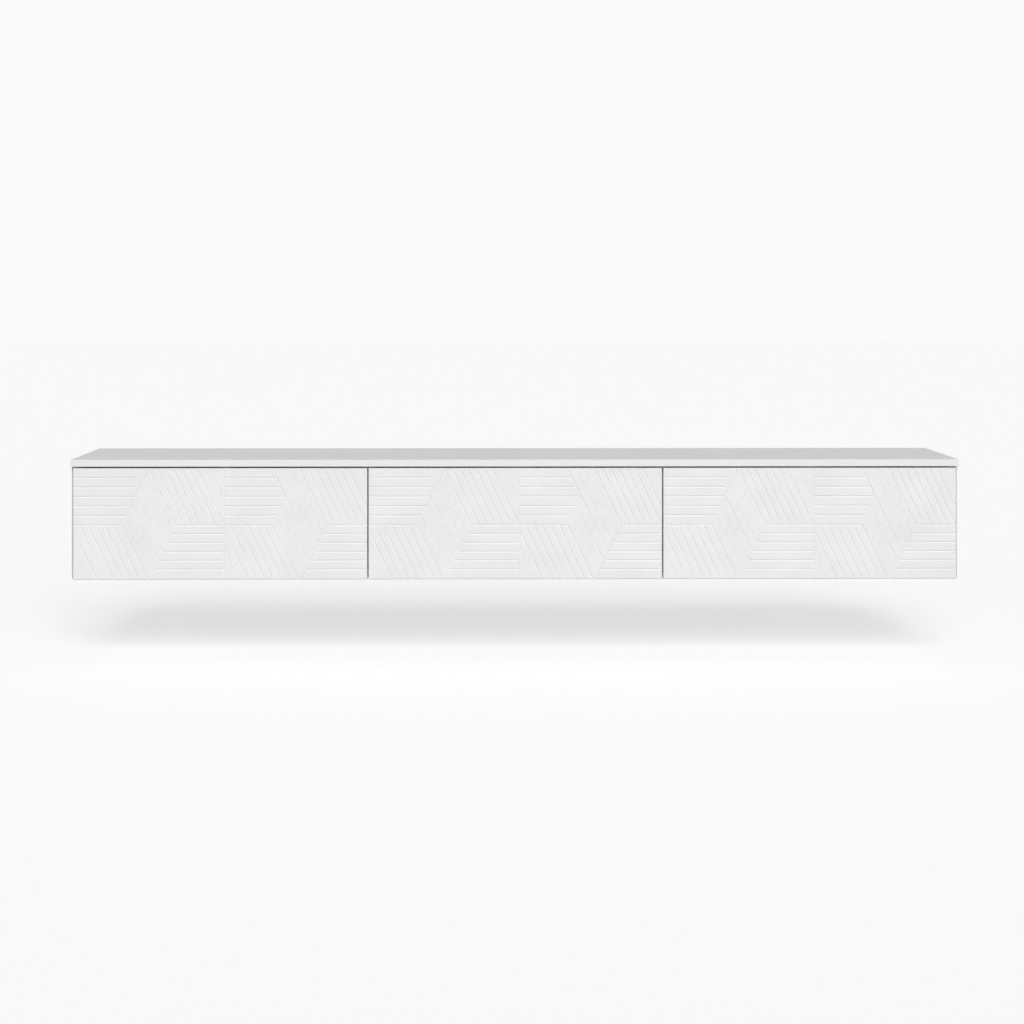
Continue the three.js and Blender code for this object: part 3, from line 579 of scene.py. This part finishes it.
def combine(name, body, tool, operation):
    """The mesh of two closed bmeshes joined, or of the first with the second cut out of it."""
    objects = []
    for source in (body, tool):
        objects.append(bpy.data.objects.new(name, close(source, name)))
        scene.collection.objects.link(objects[-1])
    boolean = objects[0].modifiers.new("combine", "BOOLEAN")
    boolean.operation = operation
    boolean.solver = "EXACT"
    boolean.object = objects[1]
    bpy.context.view_layer.update()
    evaluated = objects[0].evaluated_get(bpy.context.evaluated_depsgraph_get())
    result = bmesh.new()
    result.from_mesh(evaluated.to_mesh())
    for obj in objects:
        mesh = obj.data
        bpy.data.objects.remove(obj)
        bpy.data.meshes.remove(mesh)
    return result


SCREW_SIDES = 16


def turns():
    """The angles of the points round a screw."""
    return [2 * math.pi * i / SCREW_SIDES for i in range(SCREW_SIDES)]


def cross_outline(reach, half):
    """Sixteen points round a cross: reach is half its length and half is half an arm's width."""
    points = []
    for turn in range(4):
        for u, v in ((reach, 0), (reach, half), (half, half), (half, reach)):
            for _ in range(turn):
                u, v = -v, u
            points.append((u, v))
    return points


def screw(into, place, axis, head, height, shank, length, washer=None):
    """Adds a pan-head screw with a cross recess. Its head stands on a place, towards an axis."""
    angle = random.uniform(0, math.pi / 2)
    first, second = sides_of(axis)
    base = 0.0
    if washer:
        radius, base = washer
        disc = [(radius, 0), (radius, base), (shank, base), (shank, 0)]
        lathe(into, place, axis, rounded(disc, (1,), 0.5), 40)
    outer = [
        (shank * 0.5, -length),
        (shank, -length + shank * 0.5),
        (shank, base),
        (head, base),
        (head, base + 0.3 * height),
        (head * 0.92, base + 0.66 * height),
        (head * 0.76, base + 0.9 * height),
        (head * 0.6, base + height),
    ]
    rings = [[(r * math.cos(a), r * math.sin(a), along) for a in turns()] for r, along in outer]
    recess = cross_outline(head * 0.5, head * 0.11)
    floor_level = base + height - min(0.55 * height + 0.3, 1.6)
    rings.append([(u, v, base + height) for u, v in recess])
    rings.append([(u * 0.72, v * 0.72, floor_level) for u, v in recess])
    made = []
    for ring in rings:
        made.append([])
        for u, v, along in ring:
            turned_u = u * math.cos(angle) - v * math.sin(angle)
            turned_v = u * math.sin(angle) + v * math.cos(angle)
            spot = place + (first * turned_u + second * turned_v + axis * along) * MM
            made[-1].append(into.verts.new(spot))
    for a, b in zip(made, made[1:]):
        for i in range(SCREW_SIDES):
            j = (i + 1) % SCREW_SIDES
            into.faces.new((a[i], a[j], b[j], b[i]))
    for ring, along in ((made[0], -length), (made[-1], floor_level)):
        middle = into.verts.new(place + axis * along * MM)
        for i in range(SCREW_SIDES):
            into.faces.new((ring[i], middle, ring[(i + 1) % SCREW_SIDES]))


def soften(obj, width, segments):
    """Rounds a CAD node's sharp edges a little."""
    weld = obj.modifiers.new("weld", "WELD")
    weld.merge_threshold = JOIN_DISTANCE
    bevel = obj.modifiers.new("round", "BEVEL")
    bevel.width = width * MM
    bevel.segments = segments
    bevel.limit_method = "ANGLE"
    bevel.angle_limit = SOFTENED_ANGLE
    bevel.use_clamp_overlap = True


# Hardware

# Lengths here are in millimetres: X from the middle, Y from the wall and Z from the underside.
CONSOLE_LENGTH = 2400
SIDE = 22
PARTITION = 25
CASE_HEIGHT = 304
CASE_FRONT = -397.5
BOTTOM_TOP = 19
FLAP_LENGTH = 792
FLAP_PITCH = 796
FLAP_BACK = -401
SEAT = 0.2  # between a fitting and the board that it sits on

HINGE_INSET = 95  # from the flap's end
CUP_HEIGHT = 20.5
CUP_FLANGE = 1
PIVOT_HEIGHT = 7.5
PIVOT_SETBACK = 9.5
PIN_RADIUS = 1.4
HINGE_AXIS = FLAP_BACK - PIVOT_SETBACK
CUP_SCREW_REACH = 22.5
PLATE_SCREW_REACH = 11.75
PLATE_SCREW_PLACE = (CASE_FRONT + 31, BOTTOM_TOP + SEAT + 2.4)

STAY_RADIUS = 120  # from the hinge's axis to the bracket's pivot and to the stud
STUD_ANGLE = math.radians(35)  # from upright
BRACKET_DEPTH = -388
BRACKET_RISE = math.sqrt(STAY_RADIUS**2 - (BRACKET_DEPTH - HINGE_AXIS) ** 2)
BRACKET_PIVOT = (BRACKET_DEPTH, PIVOT_HEIGHT + BRACKET_RISE)
STUD_PLACE = (
    HINGE_AXIS + STAY_RADIUS * math.sin(STUD_ANGLE),
    PIVOT_HEIGHT + STAY_RADIUS * math.cos(STUD_ANGLE),
)
BRACKET_SCREW_INSET = 21.25
BRACKET_SCREW_DEPTH = BRACKET_DEPTH - 10.3
BRACKET_SCREW_REACH = 9
RIVET_INSET = 9.5

BUMPER_HEIGHT = 285
BUMPER_INSET = 5.2  # from a flap's end, over a partition
BUMPER_END_INSET = 15  # from the console's end, over a side
COVER_DEPTHS = (-112, -356)
COVER_INSET = 34
GROMMET_PLACE = (-26, 110)

LATCH_HEIGHT = 290
LATCH_FRONT = -391.5
LATCH_LENGTH = 78
LATCH_SCREW_REACH = 14.5
LATCH_SCREW_INSET = 12
LATCH_FLANGE = 4.8
PLUNGER_TIP = FLAP_BACK + SEAT + 1.5 + 0.3
STRIKE_SCREW_SEAT = FLAP_BACK + 1.66

RAIL_MIDDLE = 247
RAIL_FACE = -2
RAIL_SCREW_PITCH = 280
RAIL_SCREWS_A_SIDE = 4
HANGER_FRONT = -74.4
HANGER_INSET = 9
ADJUSTER_HEIGHTS = (263, 285)

# Screws as (head radius, head height, shank radius, length)
CUP_SCREW = (3.7, 1.5, 1.9, 11)
PLATE_SCREW = (3.7, 1.8, 1.9, 13)
BRACKET_SCREW = (3.7, 1.6, 1.9, 11)
LATCH_SCREW = (3.7, 1.8, 1.9, 4.7)
STRIKE_SCREW = (3.2, 0.0, 1.6, 11)
RAIL_SCREW = (5.6, 2.9, 2.6, 2)
RAIL_WASHER = (8.5, 1.3)  # radius and thickness
ADJUSTER = (3.9, 0.9, 2.2, 3)

# Turned profiles as (radius, along)
GROMMET = [(29.5, -2.7), (35.0, -2.7), (37.5, -0.2), (31.5, -0.2), (31.5, 10), (29.5, 10)]
STUD = [(0, 0.2), (8, 0.2), (8, 3.2), (3, 3.2), (3, 7), (5.5, 7), (5.5, 9), (0, 9)]
RIVET = [(0, -0.6), (4.2, -0.6), (4.2, 0.5), (3.0, 1.5), (0, 1.7)]
PLUNGER = [(0, 0), (7, 0), (7, 4), (5, 4), (5, 62), (0, 62)]
STRIKE = [(1.8, 0.2), (9, 0.2), (9, 1.7), (3.4, 1.7)]
BUMPER = [(0, 0), (4.2, 0), (4.2, 1.4), (3.5, 2.5), (1.9, 3.0), (0, 3.1)]
COVER = [(0, 0), (7.5, 0), (7.5, 0.5), (6.6, 1.1), (0, 1.1)]

# Each bay's middle, and the inner faces of the uprights at its two ends
END_FACE = CONSOLE_LENGTH / 2 - SIDE
BAY_PLACES = {
    "left": (-FLAP_PITCH, -END_FACE, -FLAP_PITCH / 2 - PARTITION / 2),
    "middle": (0, -FLAP_PITCH / 2 + PARTITION / 2, FLAP_PITCH / 2 - PARTITION / 2),
    "right": (FLAP_PITCH, FLAP_PITCH / 2 + PARTITION / 2, END_FACE),
}


def add_built(name, build, body, slot, replaced=()):
    """Closes a bmesh and adds it as a piece that rides on a body."""
    add_piece(name, close(build, name), body, slot, replaced)


def cup_build(name, x):
    """A hinge cup with its wings and pin, let into the flap's back at a place along X."""
    wall, radius, rim, depth = 0.8, 17.3, 1.7, 13.3
    wing_u, wing_v, wing_corner, corner_steps = 3.5, 24, 4, 6
    wing_sink = 0.02  # keeps the wings' faces off the rim's
    back = SEAT + CUP_FLANGE
    profile = [
        (0, -depth),
        (radius, -depth),
        (radius, SEAT),
        (radius + rim, SEAT),
        (radius + rim, back),
        (radius - wall, back),
        (radius - wall, -depth + wall),
        (0, -depth + wall),
    ]
    place = at(x, FLAP_BACK, CUP_HEIGHT)
    cup = bmesh.new()
    lathe(cup, place, Y, rounded(profile, (4, 5, 6), 0.35), 64)
    outline = []
    for u, v, start in ((1, 1, 0), (-1, 1, 90), (-1, -1, 180), (1, -1, 270)):
        for i in range(corner_steps + 1):
            angle = math.radians(start + 90 / corner_steps * i)
            corner_u = u * wing_u + wing_corner * math.cos(angle)
            corner_v = v * wing_v + wing_corner * math.sin(angle)
            outline.append((corner_u, corner_v))
    wings = bmesh.new()
    prism(wings, outline, Y, SEAT, back - wing_sink, place)
    mouth_radius = radius - wall / 2
    mouth = bmesh.new()
    lathe(mouth, place, Y, [(0, -1), (mouth_radius, -1), (mouth_radius, 3), (0, 3)], 64)
    wings = combine(name, wings, mouth, "DIFFERENCE")
    whole = combine(name, cup, wings, "UNION")
    pin = at(x, HINGE_AXIS, PIVOT_HEIGHT)
    reach = math.sqrt(mouth_radius**2 - (CUP_HEIGHT - PIVOT_HEIGHT + PIN_RADIUS) ** 2)
    lathe(whole, pin, X, [(0, -reach), (PIN_RADIUS, -reach), (PIN_RADIUS, reach), (0, reach)], 24)
    return whole


plate_screws, latch_screws, covers = bmesh.new(), bmesh.new(), bmesh.new()
for bay, (flap_middle, low, high) in BAY_PLACES.items():
    body = f"flap_{bay}"
    cup_screws, bracket_screws, rivets, bumpers = (bmesh.new() for _ in range(4))
    for end, upright, inward in (("a", low, 1), ("b", high, -1)):
        hinge = flap_middle - inward * (FLAP_LENGTH / 2 - HINGE_INSET)
        name = f"turned_cup_{bay}_{end}"
        add_built(name, cup_build(name, hinge), body, "zinc", [f"hinge_cup_{bay}_{end}"])
        for side in (-1, 1):
            place = at(hinge + side * CUP_SCREW_REACH, FLAP_BACK + SEAT + CUP_FLANGE, CUP_HEIGHT)
            screw(cup_screws, place, Y, *CUP_SCREW)
            place = at(hinge + side * PLATE_SCREW_REACH, *PLATE_SCREW_PLACE)
            screw(plate_screws, place, Z, *PLATE_SCREW)
            screw_height = BRACKET_PIVOT[1] + side * BRACKET_SCREW_REACH
            place = at(upright + inward * BRACKET_SCREW_INSET, BRACKET_SCREW_DEPTH, screw_height)
            screw(bracket_screws, place, Y, *BRACKET_SCREW)
        place = at(upright + inward * RIVET_INSET, *BRACKET_PIVOT)
        lathe(rivets, place, X * inward, rounded(RIVET, (3,), 0.6), 32)
        stud = bmesh.new()
        lathe(stud, at(upright, *STUD_PLACE), X * inward, rounded(STUD, (2, 5, 6), 0.7), 48)
        stud_name = f"turned_stud_{bay}_{end}"
        add_built(stud_name, stud, "carcass", "plated_steel", [f"stay_stud_{bay}_{end}"])
        if abs(upright) == END_FACE:
            bumper_x = math.copysign(CONSOLE_LENGTH / 2 - BUMPER_END_INSET, upright)
        else:
            bumper_x = flap_middle - inward * (FLAP_LENGTH / 2 - BUMPER_INSET)
        place = at(bumper_x, FLAP_BACK, BUMPER_HEIGHT)
        lathe(bumpers, place, Y, rounded(BUMPER, (2,), 0.4), 32)
        for depth in COVER_DEPTHS:
            for height, axis in ((BOTTOM_TOP, Z), (CASE_HEIGHT, -Z)):
                lathe(covers, at(upright + inward * COVER_INSET, depth, height), axis, COVER, 40)
    add_built(f"hinge_cup_screws_{bay}", cup_screws, body, "plated_steel")
    add_built(f"stay_bracket_screws_{bay}", bracket_screws, body, "plated_steel")
    add_built(f"stay_rivets_{bay}", rivets, body, "plated_steel")
    add_built(f"bumpers_{bay}", bumpers, body, "grey_plastic")
    latch_back = LATCH_FRONT + LATCH_LENGTH
    for side, depth in ((-1, LATCH_FRONT + LATCH_SCREW_INSET), (1, latch_back - LATCH_SCREW_INSET)):
        flange = CASE_HEIGHT - SEAT - LATCH_FLANGE
        place = at(flap_middle + side * LATCH_SCREW_REACH, depth, flange)
        screw(latch_screws, place, -Z, *LATCH_SCREW)
    ring = bmesh.new()
    ring_profile = rounded(GROMMET, (0, 1, 2, 4, 5), 0.7)
    lathe(ring, at(flap_middle, *GROMMET_PLACE), Y, ring_profile, 80)
    add_built(f"turned_grommet_{bay}", ring, "carcass", "grey_plastic", [f"grommet_{bay}"])
    rod = bmesh.new()
    tip = at(flap_middle, PLUNGER_TIP, LATCH_HEIGHT)
    lathe(rod, tip, Y, rounded(PLUNGER, (1, 2), 1.2, 4), 48)
    plunger, rider = f"latch_plunger_{bay}", f"latch_{bay}"
    add_built(f"turned_plunger_{bay}", rod, rider, "dark_plastic", [plunger])
    plate = bmesh.new()
    lathe(plate, at(flap_middle, FLAP_BACK, LATCH_HEIGHT), Y, rounded(STRIKE, (2,), 0.6), 48)
    add_built(f"turned_strike_{bay}", plate, body, "plated_steel", [f"latch_strike_{bay}"])
    fixing = bmesh.new()
    screw(fixing, at(flap_middle, STRIKE_SCREW_SEAT, LATCH_HEIGHT), Y, *STRIKE_SCREW)
    add_built(f"strike_screw_{bay}", fixing, body, "plated_steel")

add_built("hinge_plate_screws", plate_screws, "carcass", "plated_steel")
add_built("latch_screws", latch_screws, "carcass", "plated_steel")
add_built("joint_covers", covers, "carcass", "grey_plastic")

rail_screws, adjusters = bmesh.new(), bmesh.new()
for side in (-1, 1):
    for i in range(RAIL_SCREWS_A_SIDE):
        place = at(side * (i + 0.5) * RAIL_SCREW_PITCH, RAIL_FACE, RAIL_MIDDLE)
        screw(rail_screws, place, -Y, *RAIL_SCREW, washer=RAIL_WASHER)
    at_end = END_FACE - HANGER_INSET
    at_partition = FLAP_PITCH / 2 - PARTITION / 2 - HANGER_INSET
    for inset in (at_end, at_partition):
        for height in ADJUSTER_HEIGHTS:
            screw(adjusters, at(side * inset, HANGER_FRONT, height), -Y, *ADJUSTER)
add_built("rail_screws", rail_screws, "carcass", "plated_steel")
add_built("hanger_adjusters", adjusters, "carcass", "plated_steel")

# Rounding of the CAD nodes' edges, as (width, segments), for each material slot
EDGES = {
    "plated_steel": (0.25, 2),
    "zinc": (0.25, 2),
    "galvanised_steel": (0.3, 2),
    "lacquer": (0.6, 3),
}
for name, obj in nodes.items():
    slot = SLOT_OF[name]
    if slot in EDGES and not name.startswith(("hinge_cup", "stay_stud")):
        soften(obj, *EDGES[slot])

# Stage and light

FLOOR_DROP = 0.215  # from the console's underside to the floor
BACKGROUND = 0.955
AMBIENT = 0.49
ZENITH = 0.3  # of the light from overhead, against that from the sides
FLOOR_REACH = 40
FLOOR_TONE = 0.59
FLOOR_LIFT = 0.572  # light that the floor gives off to the camera
SEEN_BY = ("Is Camera Ray", "Is Glossy Ray", "Is Transmission Ray")
# Lamps as (azimuth, elevation, strength, angle), in degrees but for the strength
KEY_LIGHT = (3, 37, 1.6, 32)
FILL_LIGHT = (16, 10, 1.02, 50)


def camera_mix(shader, plain, seen):
    """One shader for camera, glossy and transmitted rays, and a plain one for all others."""
    path = shader.node("ShaderNodeLightPath")
    factor = None
    for ray in SEEN_BY:
        if factor is None:
            factor = path.outputs[ray]
            continue
        most = shader.node("ShaderNodeMath", operation="MAXIMUM")
        shader.link(factor, most.inputs[0])
        shader.link(path.outputs[ray], most.inputs[1])
        factor = most.outputs["Value"]
    mix = shader.node("ShaderNodeMixShader")
    shader.link(factor, mix.inputs["Fac"])
    shader.link(plain, mix.inputs[1])
    shader.link(seen, mix.inputs[2])
    return mix.outputs["Shader"]


world = bpy.data.worlds.new("studio")
scene.world = world
shader = Shader(world)
ambient = shader.node("ShaderNodeBackground", Strength=AMBIENT)
backdrop = shader.node("ShaderNodeBackground", Strength=BACKGROUND)
direction = shader.node("ShaderNodeTexCoord")
height = shader.node("ShaderNodeSeparateXYZ")
shader.link(direction.outputs["Generated"], height.inputs["Vector"])
dome = ramp(shader, height.outputs["Z"], [(0.0, grey(1.0)), (1.0, grey(ZENITH))])
shader.link(dome, ambient.inputs["Color"])
backdrop.inputs["Color"].default_value = (1, 1, 1, 1)
out = shader.node("ShaderNodeOutputWorld")
mixed = camera_mix(shader, ambient.outputs["Background"], backdrop.outputs["Background"])
shader.link(mixed, out.inputs["Surface"])

floor_mesh = bpy.data.meshes.new("floor")
build = bmesh.new()
bmesh.ops.create_grid(build, x_segments=1, y_segments=1, size=FLOOR_REACH)
build.to_mesh(floor_mesh)
build.free()
floor = bpy.data.objects.new("floor", floor_mesh)
floor.location = (0, 0, cad_low.z - FLOOR_DROP)
scene.collection.objects.link(floor)
floor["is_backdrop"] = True
floor_material = bpy.data.materials.new("floor")
shader = Shader(floor_material)
diffuse = shader.node("ShaderNodeBsdfDiffuse")
diffuse.inputs["Color"].default_value = (*grey(FLOOR_TONE), 1)
lift = shader.node("ShaderNodeEmission", Strength=FLOOR_LIFT)
both = shader.node("ShaderNodeAddShader")
shader.link(diffuse.outputs["BSDF"], both.inputs[0])
shader.link(lift.outputs["Emission"], both.inputs[1])
out = shader.node("ShaderNodeOutputMaterial")
mixed = camera_mix(shader, diffuse.outputs["BSDF"], both.outputs["Shader"])
shader.link(mixed, out.inputs["Surface"])
floor_mesh.materials.append(floor_material)


def sun(name, azimuth, elevation, strength, angle):
    """A soft distant lamp: azimuth 0 shines from the front, and a positive one from the right."""
    data = bpy.data.lights.new(name, "SUN")
    data.energy = strength
    data.angle = math.radians(angle)
    lamp = bpy.data.objects.new(name, data)
    a, e = math.radians(azimuth), math.radians(elevation)
    back = Vector((math.sin(a) * math.cos(e), -math.cos(a) * math.cos(e), math.sin(e)))
    lamp.rotation_mode = "QUATERNION"
    lamp.rotation_quaternion = (-back).to_track_quat("-Z", "Y")
    scene.collection.objects.link(lamp)


sun("key", *KEY_LIGHT)
sun("fill", *FILL_LIGHT)

scene.view_settings.view_transform = "Standard"

# Close

bpy.context.view_layer.update()
low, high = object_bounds()
